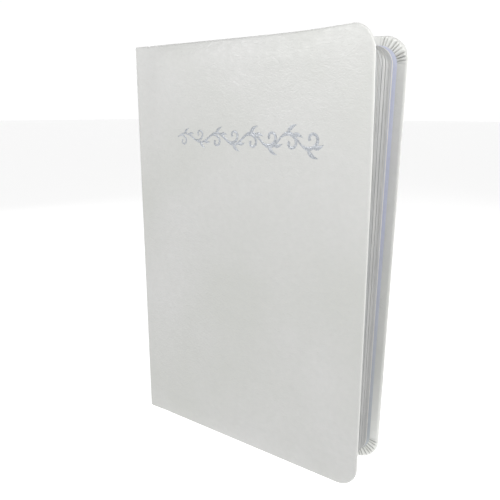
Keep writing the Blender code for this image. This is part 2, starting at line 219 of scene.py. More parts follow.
def relief(u, z, side):
    """How far the leather's outer face lies below its plane; it stands proud where there is board under
    it."""
    rim = inset(u, z, side)
    seed = 3 if side == "front" else 5
    off_spine = step_up((u - (SPINE_X + SPINE_CORNER)) / (4 * MM))
    on_board = step_up((u - BOARD_EDGE_X + 3.5 * MM) / (12 * MM))
    off_edge = step_up(rim / EDGE_FADE)
    near_head = 1 - np.clip((HEIGHT - z) / HEAD_ROLL, 0, 1)
    padding = -PADDING * on_board * (1 - HEAD_ROLL_SHARE * near_head ** 2) * step_up(rim / PADDING_EDGE)
    swells = -SWELL * (1 + ripple(u, z, SWELL_LENGTH, seed)) * on_board
    wrinkles = WRINKLE * ripple(u * 0.7, z, WRINKLE_LENGTH, seed + 1)
    over_turn_in = -TURN_IN_RIDGE * step_up((TURN_IN + 1.2 * MM - rim) / (1.8 * MM)) * off_edge
    edge = EDGE_DROP * np.exp(-rim / EDGE_DROP_WIDTH)
    joint = JOINT_DROP * (1 - on_board)
    groove = GROOVE * np.exp(-(((u - GROOVE_X) / GROOVE_WIDTH) ** 2))
    return (padding + (swells + wrinkles) * off_edge + over_turn_in + edge + joint) * off_spine + groove


def head_rise(u, z):
    """The front cover's leather is drawn up a little towards its corner at the head."""
    across = np.clip((u - HEAD_RISE_X) / (FORE_X - HEAD_RISE_X), 0, 1)
    return HEAD_RISE * across ** 2 * np.clip(z / HEIGHT, 0, 1) ** 12


def thickness_at(u):
    """A cover is thick over its board and thin at its joint."""
    return JOINT_DEPTH + (COVER_DEPTH - JOINT_DEPTH) * step_up((u - BOARD_EDGE_X + 2 * MM) / (3 * MM))


def place(u, z, depth, side, bend):
    """Where a point lies that is this deep below the outer face of a cover, as an array of (x, y, z)."""
    start = SPINE_X + SPINE_CORNER
    angle = np.clip((start - u) / SPINE_CORNER, 0, math.pi / 2)
    beyond = np.maximum(0, start - u - SPINE_CORNER * math.pi / 2)
    radius = SPINE_CORNER - depth
    turned_x = start - radius * np.sin(angle)
    turned_depth = SPINE_CORNER - radius * np.cos(angle) + beyond
    x = np.where(u > start, u, turned_x)
    d = np.where(u > start, depth, turned_depth)
    y = FACE_Y[side] + SIGN[side] * d + bend(x, z)
    return np.column_stack([x, y, np.broadcast_to(z, np.shape(x))])


# Layouts: a grid inside, and an outline of points round it that rings follow

def spaced(low, high, step):
    return np.linspace(low, high, max(2, round((high - low) / step) + 1))


def outline(us, zs, zone, arc_steps, closed):
    """The outline's points, each with the direction that leads inwards, its turn round a corner (-1
    elsewhere), and the nearest point of the grid."""
    nu, nz = len(us), len(zs)
    base, inwards, turns, nearest = [], [], [], []

    def add(point, inward, turn, index):
        base.append(point)
        inwards.append(inward)
        turns.append(turn)
        nearest.append(index)

    def corner(centre, first, index, number):
        for k in range(1, arc_steps):
            angle = first + math.pi / 2 * k / arc_steps
            add(centre, (-math.cos(angle), -math.sin(angle)), number + k / arc_steps, index)

    bottom, top = zs[0] - zone, zs[-1] + zone
    for i, u in enumerate(us):
        add((u, bottom), (0, 1), -1, i)
    corner((us[-1], zs[0]), -math.pi / 2, nu - 1, 0)
    for j, z in enumerate(zs):
        add((us[-1] + zone, z), (-1, 0), -1, j * nu + nu - 1)
    corner((us[-1], zs[-1]), 0, nz * nu - 1, 1)
    for i in range(nu - 1, -1, -1):
        add((us[i], top), (0, -1), -1, (nz - 1) * nu + i)
    if closed:
        back = us[0] - zone
        add((back, top), (1, -1), -1, (nz - 1) * nu)
        for j in range(nz - 1, -1, -1):
            add((back, zs[j]), (1, 0), -1, j * nu)
        add((back, bottom), (1, 1), -1, 0)
    return np.array(base), np.array(inwards, float), np.array(turns), np.array(nearest)


def layout(us, zs, zone, radius, arc_steps, closed):
    """A sheet whose two fore-edge corners are rounded. us and zs are its grid's lines, which stop a zone
    inside the outline. An open sheet's outline stops at the spine; a closed one's goes round it, with
    square corners."""
    base, inwards, turns, nearest = outline(us, zs, zone, arc_steps, closed)
    grid_u, grid_z = np.meshgrid(us, zs)
    return {
        "grid": np.column_stack([grid_u.ravel(), grid_z.ravel()]),
        "shape": (len(us), len(zs)),
        "zone": zone,
        "radius": radius,
        "base": base,
        "inwards": inwards,
        "turns": turns,
        "nearest": nearest,
        "closed": closed,
    }


def ring_points(plan, amounts):
    """The outline moved inwards, by an amount that may vary along it. At a corner the points are where
    rays from the end of the grid meet the moved outline."""
    zone, radius, inward = plan["zone"], plan["radius"], plan["inwards"]
    amount = np.broadcast_to(amounts, len(inward))
    across, up = np.maximum(np.abs(inward), 1e-9).T
    straight = zone - np.maximum(radius, amount)
    to_side, to_end = (zone - amount) / across, (zone - amount) / up
    reach = (zone - radius) * (across + up)
    to_arc = reach + np.sqrt(np.maximum(0, reach ** 2 - 2 * (zone - radius) ** 2 + (radius - amount) ** 2))
    ray = np.where(to_side * up <= straight, to_side, np.where(to_end * across <= straight, to_end, to_arc))
    move = np.where(plan["turns"] < 0, amount, -ray)
    return plan["base"] + inward * move[:, None]


def grid_faces(nu, nz, first=0, flip=False):
    i, j = np.meshgrid(np.arange(nu - 1), np.arange(nz - 1))
    low = (first + j * nu + i).ravel()
    quads = np.column_stack([low, low + 1, low + nu + 1, low + nu])
    return quads[:, ::-1] if flip else quads


def ringed(plan, rings, second_grid=False):
    """The sheet's vertices as (u, z), the ring that each is on, its turn, and the faces as index lists.
    rings is the inset of each ring at each outline point. A grid's points are on ring -1, and those
    of a second grid, which closes the far side of a solid sheet, on ring -2."""
    count = len(plan["base"])
    flat = [plan["grid"]]
    ring_of = [np.full(len(plan["grid"]), -1)]
    turn_of = [np.full(len(plan["grid"]), -1.0)]
    for number, amounts in enumerate(rings):
        flat.append(ring_points(plan, amounts))
        ring_of.append(np.full(count, number))
        turn_of.append(plan["turns"])
    nu, nz = plan["shape"]
    faces = [list(q) for q in grid_faces(nu, nz)]
    first_ring = len(plan["grid"])
    lines = [plan["nearest"]] + [first_ring + k * count + np.arange(count) for k in range(len(rings))]
    if second_grid:
        start = first_ring + len(rings) * count
        flat.append(plan["grid"])
        ring_of.append(np.full(len(plan["grid"]), -2))
        turn_of.append(np.full(len(plan["grid"]), -1.0))
        lines.append(start + plan["nearest"])
        faces += [list(q) for q in grid_faces(nu, nz, start, flip=True)]
    pairs = [(k, (k + 1) % count) for k in range(count if plan["closed"] else count - 1)]
    for inner, outer in zip(lines, lines[1:]):
        for a, b in pairs:
            face = [inner[a], outer[a], outer[b], inner[b]]
            kept = [v for n, v in enumerate(face) if v != face[n - 1]]
            if len(kept) > 2:
                faces.append(kept)
    return np.concatenate(flat), np.concatenate(ring_of), np.concatenate(turn_of), faces


def make_object(name, points, faces, looks, side="front", sharp=35):
    """A mesh object. Sheets are laid out facing -Y, so those of the back are turned over."""
    if side == "back":
        faces = [face[::-1] for face in faces]
    mesh = bpy.data.meshes.new(name)
    mesh.from_pydata([tuple(p) for p in points], [], [[int(v) for v in f] for f in faces])
    for look in looks:
        mesh.materials.append(look)
    mesh.shade_smooth()
    mesh.set_sharp_from_angle(angle=math.radians(sharp))
    mesh.validate()
    obj = bpy.data.objects.new(name, mesh)
    bpy.context.scene.collection.objects.link(obj)
    return obj


def set_uv(obj, u, v):
    """A UV map from two values at each vertex."""
    layer = obj.data.uv_layers.new(name="UVMap")
    index = np.zeros(len(obj.data.loops), np.int32)
    obj.data.loops.foreach_get("vertex_index", index)
    layer.data.foreach_set("uv", np.column_stack([u[index], v[index]]).astype(np.float32).ravel())


def thicken(obj, amount):
    """Give an open sheet its thickness, below the face it shows, and keep the result as its mesh. The
    cut edges are marked sharp, so that two sheets that meet show no dark line between them."""
    solid = obj.modifiers.new("thickness", "SOLIDIFY")
    solid.thickness = amount
    solid.offset = -1.0
    bpy.context.view_layer.update()
    evaluated = obj.evaluated_get(bpy.context.evaluated_depsgraph_get())
    mesh = bpy.data.meshes.new_from_object(evaluated)
    obj.modifiers.clear()
    obj.data = mesh
    mesh.set_sharp_from_angle(angle=math.radians(SMOOTH_UP_TO))


# Materials

def new_look(name, colour, roughness, metallic=0.0, **sockets):
    """A material and its shader, with these values on the shader's own sockets."""
    look = bpy.data.materials.new(name)
    look.use_nodes = True
    shader = look.node_tree.nodes["Principled BSDF"]
    shader.inputs["Base Color"].default_value = (*colour, 1)
    shader.inputs["Roughness"].default_value = roughness
    shader.inputs["Metallic"].default_value = metallic
    for socket, value in sockets.items():
        shader.inputs[socket.replace("_", " ")].default_value = value
    return look, shader


class Nodes:
    """Short ways to add shader nodes to one material."""

    def __init__(self, look):
        self.tree = look.node_tree

    def add(self, kind, **settings):
        node = self.tree.nodes.new(kind)
        for key, value in settings.items():
            setattr(node, key, value)
        return node

    def link(self, out, into):
        self.tree.links.new(out, into)

    def coordinates(self, scale=(1, 1, 1), source="Object"):
        """Object coordinates or the UV map, stretched by a scale."""
        base = self.add("ShaderNodeTexCoord")
        mapping = self.add("ShaderNodeMapping")
        mapping.inputs["Scale"].default_value = scale
        self.link(base.outputs[source], mapping.inputs["Vector"])
        return mapping.outputs["Vector"]

    def noise(self, vector, size, detail=3.0, roughness=0.5, distortion=0.0):
        """Noise whose features are about this size in metres."""
        node = self.add("ShaderNodeTexNoise")
        node.inputs["Scale"].default_value = 1 / size
        node.inputs["Detail"].default_value = detail
        node.inputs["Roughness"].default_value = roughness
        node.inputs["Distortion"].default_value = distortion
        self.link(vector, node.inputs["Vector"])
        return node.outputs["Fac"]

    def cells(self, vector, size, feature="DISTANCE_TO_EDGE", output="Distance"):
        """Irregular cells of about this size in metres."""
        node = self.add("ShaderNodeTexVoronoi", feature=feature)
        node.inputs["Scale"].default_value = 1 / size
        self.link(vector, node.inputs["Vector"])
        return node.outputs[output]

    def spread(self, value, low, high, to_low=0.0, to_high=1.0):
        """A value's range, carried over to another range."""
        node = self.add("ShaderNodeMapRange")
        for key, number in (("From Min", low), ("From Max", high), ("To Min", to_low), ("To Max", to_high)):
            node.inputs[key].default_value = number
        self.link(value, node.inputs["Value"])
        return node.outputs["Result"]

    def maths(self, operation, a, b):
        node = self.add("ShaderNodeMath", operation=operation)
        for socket, value in zip(node.inputs, (a, b)):
            if isinstance(value, (int, float)):
                socket.default_value = value
            else:
                self.link(value, socket)
        return node.outputs[0]

    def mix(self, factor, a, b):
        """A colour between two, each a tuple or another node's colour."""
        node = self.add("ShaderNodeMix", data_type="RGBA")
        self.link(factor, node.inputs[0])
        for socket, value in ((node.inputs[6], a), (node.inputs[7], b)):
            if isinstance(value, tuple):
                socket.default_value = (*value, 1)
            else:
                self.link(value, socket)
        return node.outputs[2]

    def bump(self, height, distance, normal=None):
        node = self.add("ShaderNodeBump")
        node.inputs["Strength"].default_value = 1.0
        node.inputs["Distance"].default_value = distance
        self.link(height, node.inputs["Height"])
        if normal is not None:
            self.link(normal, node.inputs["Normal"])
        return node.outputs["Normal"]


def leather_look():
    """White imitation leather: a fine grain over soft swells, with painted light on its rim and turn-in and
    painted shade in the pleats' creases, where the mesh's attributes say so.
    """
    look, shader = new_look("white_leather", (0.72, 0.72, 0.70), 0.42, Specular_IOR_Level=0.75)
    n = Nodes(look)
    where = n.coordinates()
    drawn = n.coordinates((0.7, 1.0, 1.0))
    tone = n.noise(where, 60 * MM, 2.0)
    mottle = n.noise(where, 3 * MM, 4.0)
    pale = n.mix(n.spread(tone, 0.35, 0.65), (0.538, 0.544, 0.520), (0.583, 0.583, 0.573))
    mottled = n.mix(n.spread(mottle, 0.3, 0.7, 0.0, 0.35), pale, (0.514, 0.521, 0.505))
    painted_light = n.add("ShaderNodeAttribute", attribute_name="painted_light").outputs["Fac"]
    crease_shade = n.add("ShaderNodeAttribute", attribute_name="crease_shade").outputs["Fac"]
    # painted light: a painted highlight on the rim and painted light on the turn-in make the colour lighter
    toned = n.mix(painted_light, mottled, (0.865, 0.872, 0.84))
    # painted shade: the creases between the pleats are darkened
    colour = n.mix(n.spread(crease_shade, 0.0, 1.0, 0.0, 0.94), toned, (0.11, 0.11, 0.10))
    n.link(colour, shader.inputs["Base Color"])
    n.link(n.spread(mottle, 0.3, 0.7, 0.29, 0.42), shader.inputs["Roughness"])
    creases = n.spread(n.cells(drawn, 1.5 * MM), 0.0, 0.16)
    pebbles = n.noise(drawn, 0.55 * MM, 3.0, 0.6)
    swell = n.noise(drawn, 3.4 * MM, 3.0, 0.6, 0.8)
    normal = n.bump(swell, 0.22 * MM)
    normal = n.bump(creases, 0.03 * MM, normal)
    normal = n.bump(pebbles, 0.045 * MM, normal)
    n.link(normal, shader.inputs["Normal"])
    return look


def silver_edge_look():
    """Silvered page edges: u of the UV map counts leaves, and v runs along the edge."""
    look, shader = new_look("silvered_edges", (0.60, 0.60, 0.60), 0.42, 0.35)
    n = Nodes(look)
    streak = n.noise(n.coordinates((1.0, 0.02, 1.0), "UV"), 0.5 * MM, 4.0, 0.7)
    bands = n.noise(n.coordinates((1.0, 0.03, 1.0), "UV"), 2.4 * MM, 2.0)
    worn = n.noise(n.coordinates((1, 1, 0.3)), 5 * MM, 3.0)
    dark = n.mix(n.spread(streak, 0.3, 0.7), (0.40, 0.40, 0.395), (0.54, 0.54, 0.53))
    toned = n.mix(n.spread(bands, 0.35, 0.65, 0.0, 0.6), dark, (0.41, 0.42, 0.425))
    colour = n.mix(n.spread(worn, 0.45, 0.75, 0.0, 0.30), toned, (0.58, 0.58, 0.57))
    n.link(colour, shader.inputs["Base Color"])
    n.link(n.spread(streak, 0.3, 0.7, 0.62, 0.45), shader.inputs["Roughness"])
    n.link(n.bump(streak, 0.05 * MM), shader.inputs["Normal"])
    return look


def paper_look(name, pale, shade, size=1.2 * MM, painted_shade_at_tail=None):
    """Paper with fibres and faint clouds. The last argument, if given, is a greyer colour that it turns to
    towards the tail, as painted shade."""
    look, shader = new_look(name, pale, 0.75)
    n = Nodes(look)
    fibres = n.noise(n.coordinates((1, 1, 0.5)), size, 5.0, 0.65)
    clouds = n.noise(n.coordinates(), 18 * MM, 2.0)
    colour = n.mix(n.spread(fibres, 0.35, 0.65), pale, shade)
    colour = n.mix(n.spread(clouds, 0.3, 0.7, 0.0, 0.3), colour, shade)
    if painted_shade_at_tail:
        # painted shade: the colour turns greyer towards the tail
        parts = n.add("ShaderNodeSeparateXYZ")
        n.link(n.coordinates(), parts.inputs[0])
        share = n.spread(parts.outputs["Z"], 0.6 * HEIGHT, 0.1 * HEIGHT, 0.0, 0.8)
        colour = n.mix(share, colour, painted_shade_at_tail)
    n.link(colour, shader.inputs["Base Color"])
    n.link(n.spread(fibres, 0.3, 0.7, 0.65, 0.82), shader.inputs["Roughness"])
    n.link(n.bump(fibres, 0.02 * MM), shader.inputs["Normal"])
    return look


def foil_look():
    """Foil of small glittering flakes."""
    look, shader = new_look("glitter_foil", (0.52, 0.55, 0.60), 0.3, 0.85)
    n = Nodes(look)
    where = n.coordinates()
    flake = n.cells(where, 0.35 * MM, "F1", "Color")
    split = n.add("ShaderNodeSeparateColor")
    n.link(flake, split.inputs[0])
    colour = n.mix(split.outputs[0], (0.32, 0.34, 0.37), (0.60, 0.62, 0.65))
    n.link(colour, shader.inputs["Base Color"])
    n.link(n.spread(split.outputs[1], 0, 1, 0.3, 0.55), shader.inputs["Roughness"])
    n.link(n.bump(split.outputs[2], 0.07 * MM), shader.inputs["Normal"])
    return look


WAVE_SCALE = 3  # a wave texture of scale 1 has bands about a third of a metre apart
BAND_STRIPE = 1.3 * MM


def woven_look(name, pale, shade, size):
    """Crossing threads of gauze, cord or tape."""
    look, shader = new_look(name, pale, 0.9)
    n = Nodes(look)
    where = n.coordinates()
    waves = []
    for direction in ("Y", "Z"):
        node = n.add("ShaderNodeTexWave", bands_direction=direction)
        node.inputs["Scale"].default_value = 1 / (WAVE_SCALE * size)
        node.inputs["Distortion"].default_value = 0.6
        n.link(where, node.inputs["Vector"])
        waves.append(node.outputs["Fac"])
    weave = n.maths("MULTIPLY", waves[0], waves[1])
    n.link(n.mix(weave, shade, pale), shader.inputs["Base Color"])
    n.link(n.bump(weave, 0.1 * MM), shader.inputs["Normal"])
    return look


def band_look():
    """The head and tail bands' stripes: v of the UV map runs along the cord."""
    look, shader = new_look("band_stripes", (0.8, 0.8, 0.82), 0.6)
    n = Nodes(look)
    where = n.coordinates((1, 1, 1), "UV")
    node = n.add("ShaderNodeTexWave", bands_direction="Y")
    node.inputs["Scale"].default_value = 1 / (WAVE_SCALE * BAND_STRIPE)
    n.link(where, node.inputs["Vector"])
    colour = n.mix(n.spread(node.outputs["Fac"], 0.35, 0.65), (0.55, 0.56, 0.60), (0.82, 0.82, 0.83))
    n.link(colour, shader.inputs["Base Color"])
    n.link(n.bump(n.noise(where, 0.2 * MM), 0.05 * MM), shader.inputs["Normal"])
    return look


# Leather pieces

RIM_STEPS = 8
FACE_INSETS = [d * MM for d in (11.0, 9.2, 7.6, 6.2, 5.0, 4.0, 3.2, 2.5, 1.9, 1.4)]
TURNED_INSETS = [d * MM for d in (1.35, 1.8, 2.3, 2.9, 3.5, 4.2, 5.0, 6.0, 7.2, 8.6, 10.0)]
FOLD_RING = len(FACE_INSETS) + RIM_STEPS  # the first ring on the turn-in


def rim_angle(ring):
    """How far round the half-round edge a ring is, from 0 at the outer face to pi at the turn-in."""
    return np.clip((ring - len(FACE_INSETS)) / RIM_STEPS, 0, 1) * math.pi


def pleats(turn, rng):
    """Rounded folds for a turn of 0 to 1 round a corner, as heights, and how much each point is in a crease
    between two folds, which sets the creases' painted shade. Both are 0 elsewhere."""
    share = np.where(turn < 0, 0.0, turn % 1.0)
    corner = np.floor(np.maximum(turn, 0))
    phase = rng.uniform(0, 2 * math.pi, 2)
    uneven = 0.012 * np.sin(2 * math.pi * share * 3 + phase[0] + corner)
    uneven = uneven + 0.006 * np.sin(2 * math.pi * share * 7 + phase[1] + corner)
    wave = np.abs(np.sin(math.pi * PLEATS * (share + uneven))) ** 0.7
    fade = np.where(turn < 0, 0.0, step_up(share * 12) * step_up((1 - share) * 12))
    return (PLEAT_MIDDLE - wave) * fade, np.exp(-((wave / CREASE_SHARPNESS) ** 2)) * fade


def mark(obj, name, amounts):
    """A named amount at each vertex, for the material."""
    obj.data.attributes.new(name, "FLOAT", "POINT").data.foreach_set("value", amounts.astype(np.float32))


def turn_in_painted_light(z):
    """How much painted light the turn-in gets at each height, as a lighter colour; it is painted lighter at
    the head and the tail. The photo's turn-in is brightest at the tail, which this light alone does not
    give; the leather's colour makes up for that as painted light, and stands for no wear that the photo
    shows."""
    from_end = np.minimum(z, HEIGHT - z)
    # painted light at the head and the tail of the turn-in
    ends = END_PAINTED_LIGHT * step_up((CORNER_ZONE - from_end) / END_BLUR)
    middle = MIDDLE_PAINTED_LIGHT * np.clip((MIDDLE_FROM - z) / (MIDDLE_FROM - MIDDLE_TO), 0, 1)
    tail = step_up((TAIL_PAINTED_LIGHT_FROM - z) / (TAIL_PAINTED_LIGHT_FROM - TAIL_PAINTED_LIGHT_TO))
    return np.maximum(ends, middle + (1 - MIDDLE_PAINTED_LIGHT) * tail)


def cover_lines(side):
    """The grid's lines of a cover's leather, from its seam on the spine to a zone inside the fore-edge."""
    start = SPINE_X + SPINE_CORNER
    arc_end = start - SPINE_CORNER * math.pi / 2
    seam = arc_end - (SEAM_DEPTH - SPINE_CORNER)
    us = np.concatenate([
        spaced(seam, arc_end, 0.75 * MM)[:-1],
        spaced(arc_end, start, 0.5 * MM)[:-1],
        spaced(start, JOINT_END_X, 0.7 * MM)[:-1],
        spaced(JOINT_END_X, REACH_X[side] - CORNER_ZONE, 1.8 * MM),
    ])
    return us, spaced(CORNER_ZONE, HEIGHT - CORNER_ZONE, LEATHER_STEP)


def build_cover_leather(side, looks):
    """One sheet: the cover's outer face, its rounded edge, and the turn-in with its pleats."""
    us, zs = cover_lines(side)
    plan = layout(us, zs, CORNER_ZONE, CORNER_RADIUS[side], PLEATS * STEPS_PER_PLEAT, closed=False)
    half = thickness_at(plan["base"][:, 0]) / 2
    whole = np.ones(len(half))
    insets = [whole * d for d in FACE_INSETS]
    insets += [half * (1 - math.sin(math.pi * k / RIM_STEPS)) for k in range(RIM_STEPS + 1)]
    insets += [whole * d for d in TURNED_INSETS]
    flat, ring, turn, faces = ringed(plan, insets)
    u, z = flat[:, 0], flat[:, 1]
    angle = rim_angle(ring)
    turned = step_up((ring - FOLD_RING + 3) / 5) * step_up((FOLD_RING + 10 - ring) / 4)
    depth = thickness_at(u) / 2 * (1 - np.cos(angle)) + relief(u, z, side) * np.cos(angle / 2) ** 2
    fold, crease = pleats(turn, np.random.default_rng(21 if side == "front" else 22))
    depth -= PLEAT_HEIGHT * fold * turned
    points = place(u, z, depth, side, BEND[side])
    if side == "front":
        points[:, 2] += head_rise(u, z)
    obj = make_object(f"{side}_cover_leather", points, faces, [looks["leather"]], side, sharp=SMOOTH_UP_TO)
    # painted light: a painted highlight along the rim, and painted light on the turn-in
    painted_light = np.maximum(RIM_PAINTED_HIGHLIGHT * np.sin(angle) ** 3, turn_in_painted_light(z) * (angle > math.pi / 2))
    mark(obj, "painted_light", painted_light)
    # painted shade in the creases between the pleats, less of it towards the head
    mark(obj, "crease_shade", crease * turned * (1 - CREASE_SHADE_LESS_AT_HEAD * z / HEIGHT))
    thicken(obj, LEATHER)
    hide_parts(f"{side}_cover_skin")
    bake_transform(obj)


def build_spine_back(looks):
    """The flat of the spine, between the seams of the two covers' leather, with its ends turned in."""
    depths = spaced(SEAM_DEPTH, THICKNESS - SEAM_DEPTH, 0.8 * MM)
    zs = spaced(CORNER_ZONE, HEIGHT - CORNER_ZONE, LEATHER_STEP)
    half = JOINT_DEPTH / 2
    section = [(d, 0.0) for d in FACE_INSETS]
    for k in range(RIM_STEPS + 1):
        angle = math.pi * k / RIM_STEPS
        section.append((half * (1 - math.sin(angle)), half * (1 - math.cos(angle))))
    section += [(d, JOINT_DEPTH) for d in TURNED_INSETS]
    head = [(HEIGHT - from_end, depth) for from_end, depth in section]
    line = np.array(section[::-1] + [(z, 0.0) for z in zs] + head)
    across, down = np.meshgrid(depths, np.arange(len(line)))
    z, depth = line[down.ravel(), 0], line[down.ravel(), 1]
    share = (across.ravel() - SEAM_DEPTH) / (THICKNESS - 2 * SEAM_DEPTH)
    bulge = SPINE_BULGE * np.sin(math.pi * share) ** 2
    points = np.column_stack([SPINE_X + depth - bulge, FACE_Y["front"] + across.ravel(), z])
    faces = grid_faces(len(depths), len(line), flip=True)
    obj = make_object("spine_back_leather", points, faces.tolist(), [looks["leather"]], sharp=SMOOTH_UP_TO)
    thicken(obj, LEATHER)
    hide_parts("front_spine_leather", "back_spine_leather")
    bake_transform(obj)


# Paper pieces

def build_pastedown(side, looks):
    """The endpaper on the inside of a cover, on to its fold beside the pages."""
    far = REACH_X[side] - MARGIN
    radius = CORNER_RADIUS[side] - MARGIN / 2
    fold_x = HINGE_X - 1.2 * MM
    us = np.concatenate([
        spaced(fold_x, JOINT_END_X, 0.8 * MM)[:-1],
        spaced(JOINT_END_X, far - radius, 4 * MM),
    ])
    zs = spaced(MARGIN + radius, HEIGHT - MARGIN - radius, 4 * MM)
    plan = layout(us, zs, radius, radius, 16, closed=False)
    flat, _, _, faces = ringed(plan, [radius * 0.6, radius * 0.3, 0.6 * MM, 0.0])
    u, z = flat[:, 0], flat[:, 1]
    on_board = step_up((u - HINGE_X) / (8 * MM))
    ridge = 0.10 * MM * step_up((TURN_IN - inset(u, z, side)) / (1.2 * MM))
    depth = COVER_DEPTH + PASTEDOWN_GAP + (1 - on_board) * PASTEDOWN_GAP + ridge * on_board
    points = place(u, z, depth, side, BEND[side])
    obj = make_object(f"{side}_pastedown_paper", points, faces, [looks["endpaper"]], side)
    thicken(obj, PAPER)
    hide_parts(f"{side}_cover_pastedown")
    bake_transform(obj)


def solid_sheet(name, side, us, zs, radius, depths, ridges, bend, looks, uv_start=0):
    """A closed stack of leaves: two broad faces, and an edge whose ridges are small insets at several
    depths. The first look is the faces' and the second the edge's."""
    plan = layout(us, zs, radius, radius, 8, closed=True)
    first, last = depths[0], depths[-1]
    shoulder = 0.35 * MM
    rings = [radius * 0.5, shoulder] + list(ridges) + [shoulder, radius * 0.5]
    ring_depths = np.array([first, first] + list(depths) + [last, last])
    flat, ring, _, faces = ringed(plan, rings, second_grid=True)
    u, z = flat[:, 0], flat[:, 1]
    depth = np.where(ring == -1, first, np.where(ring == -2, last, ring_depths[np.clip(ring, 0, None)]))
    y = FACE_Y[side] + SIGN[side] * depth
    y = y + bend(u, z, y)
    obj = make_object(name, np.column_stack([u, y, z]), faces, looks, side, sharp=50)
    highest = np.array([max(ring[int(v)] for v in f) for f in faces])
    lowest = np.array([min(ring[int(v)] for v in f) for f in faces])
    edge = (lowest >= 1) & (highest <= len(rings) - 2)
    obj.data.polygons.foreach_set("material_index", edge.astype(np.int32))
    set_uv(obj, depth + uv_start, u - SPINE_X + z)
    return obj


def fan(number, centre_depth, side):
    """The bend of one gathering. Those of a bundle stay close, so that gaps open between the bundles."""
    half = THICKNESS / 2 - FIRST_GATHERING
    centre = FACE_Y[side] + SIGN[side] * centre_depth
    bundle = (number - 1) // BUNDLE
    bundles = math.ceil(2 * GATHERINGS_PER_HALF / BUNDLE)
    own = (centre - MIDDLE_Y + half) / (2 * half)
    common = (bundle + 0.5) / bundles
    middle_share = own + BUNDLE_HOLD * (common - own)

    def bend(x, z, y):
        inner = LEAF_SPREAD * (y - centre) / (2 * half)
        return PAGE_FAN * splay(x, z, PAGE_TAIL_SHARE) * (middle_share + inner)
    return bend


def build_gatherings(side, looks):
    """The sewn sections of one half of the text block, whose leaves make uneven ridges on the edge."""
    pitch = (THICKNESS / 2 - FIRST_GATHERING) / GATHERINGS_PER_HALF
    zs = spaced(PAGE_LOW.z + PAGE_RADIUS, PAGE_HIGH.z - PAGE_RADIUS, 11 * MM)
    for k in range(GATHERINGS_PER_HALF):
        number = k + 1 if side == "front" else 2 * GATHERINGS_PER_HALF - k
        rng = np.random.default_rng(100 + number)
        reach = PAGE_HIGH.x - PAGE_RADIUS - rng.uniform(0, UNEVEN_REACH)
        us = spaced(PAGE_LOW.x + PAGE_RADIUS, reach, 11 * MM)
        low = FIRST_GATHERING + k * pitch
        depths = np.linspace(low, low + pitch - PAGE_GAP, LEAF_LINES)
        amounts = rng.random(LEAF_LINES)
        chosen = rng.random(LEAF_LINES) > 1 - LEAF_RIDGE_SHARE
        ridges = LEAF_INSET + LEAF_RIDGE * amounts * chosen
        ridges[[0, -1]] += GATHERING_SHOULDER
        starts_bundle = (number - 1) % BUNDLE == 0
        ends_bundle = number % BUNDLE == 0
        ridges[0 if side == "front" else -1] += BUNDLE_GAP * starts_bundle
        ridges[-1 if side == "front" else 0] += BUNDLE_GAP * ends_bundle
        obj = solid_sheet(
            f"gathering_{number:02d}_pages", side, us, zs, PAGE_RADIUS, depths, ridges,
            fan(number, low + pitch / 2, side), [looks["page"], looks["silver"]],
            uv_start=0 if side == "front" else BACK_UV_START,
        )
        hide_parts(f"gathering_{number:02d}")
        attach(obj, HALF[side])


def build_flyleaf(side, looks):
    """The free half of an endpaper. The back one splays with the leaves; the front one is flat."""
    depths = FLYLEAF_DEPTH + np.array([0.0, FLYLEAF])
    edge = np.array([0.0, 0.0])
    fine_to = PAGE_LOW.x + 30 * MM
    us = np.concatenate([
        spaced(PAGE_LOW.x + 1.2 * MM + PAGE_RADIUS, fine_to, 1.2 * MM)[:-1],
        spaced(fine_to, PAGE_HIGH.x - PAGE_RADIUS, 8 * MM),
    ])
    zs = spaced(PAGE_LOW.z + PAGE_RADIUS, PAGE_HIGH.z - PAGE_RADIUS, 8 * MM)
    amount = 0.0 if side == "front" else FLYLEAF_FAN

    def bend(x, z, _):
        return amount * splay(x, z, PAGE_TAIL_SHARE)

    obj = solid_sheet(
        f"{side}_flyleaf_paper", side, us, zs, PAGE_RADIUS, depths, edge, bend,
        [looks["endpaper"], looks["page"]],
    )
    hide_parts(f"{side}_flyleaf", f"{side}_endpaper_strip")
    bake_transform(obj)


# Bands

def build_band(side, end, looks):
    """Half of a head or tail band: a cord of wound silk, round which three raised strands twist."""
    node = f"{side}_{end}band"
    low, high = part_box(node)
    centre_x, centre_z = (low.x + high.x) / 2, (low.z + high.z) / 2
    core = (high.x - low.x) / 2
    ys = spaced(low.y, high.y, 0.22 * MM)
    around = 24
    angle, y = np.meshgrid(np.linspace(0, 2 * math.pi, around, endpoint=False), ys)
    twist = 2 * math.pi * y / (3.9 * MM)
    radius = core * (0.93 + 0.07 * np.abs(np.sin(1.5 * (angle - twist))))
    points = np.column_stack([
        (centre_x + radius * np.cos(angle)).ravel(), y.ravel(), (centre_z + radius * np.sin(angle)).ravel()])
    faces = []
    for row in range(len(ys) - 1):
        for k in range(around):
            a, b = row * around + k, row * around + (k + 1) % around
            faces.append([a, b, b + around, a + around])
    faces.append(list(range(around))[::-1])
    faces.append([(len(ys) - 1) * around + k for k in range(around)])
    faces = [face[::-1] for face in faces]
    obj = make_object(f"{node}_cord", points, faces, [looks["band"]], sharp=60)
    set_uv(obj, angle.ravel() * MM, y.ravel())
    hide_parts(node)
    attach(obj, HALF[side])


# Foil ornament: a scrolling vine

ORNAMENT_X = (SPINE_X + 31.5 * MM, SPINE_X + 115.5 * MM)
ORNAMENT_Z = 164.0 * MM
SCROLLS = 8
STEM_POINTS, SCROLL_POINTS, LEAF_POINTS = 150, 40, 14
FOIL_LIFT = 0.05 * MM
FOIL_SINK = 0.03 * MM  # its rim lies this deep in the leather
STROKE_LIFT = 0.006 * MM  # between strokes that cross


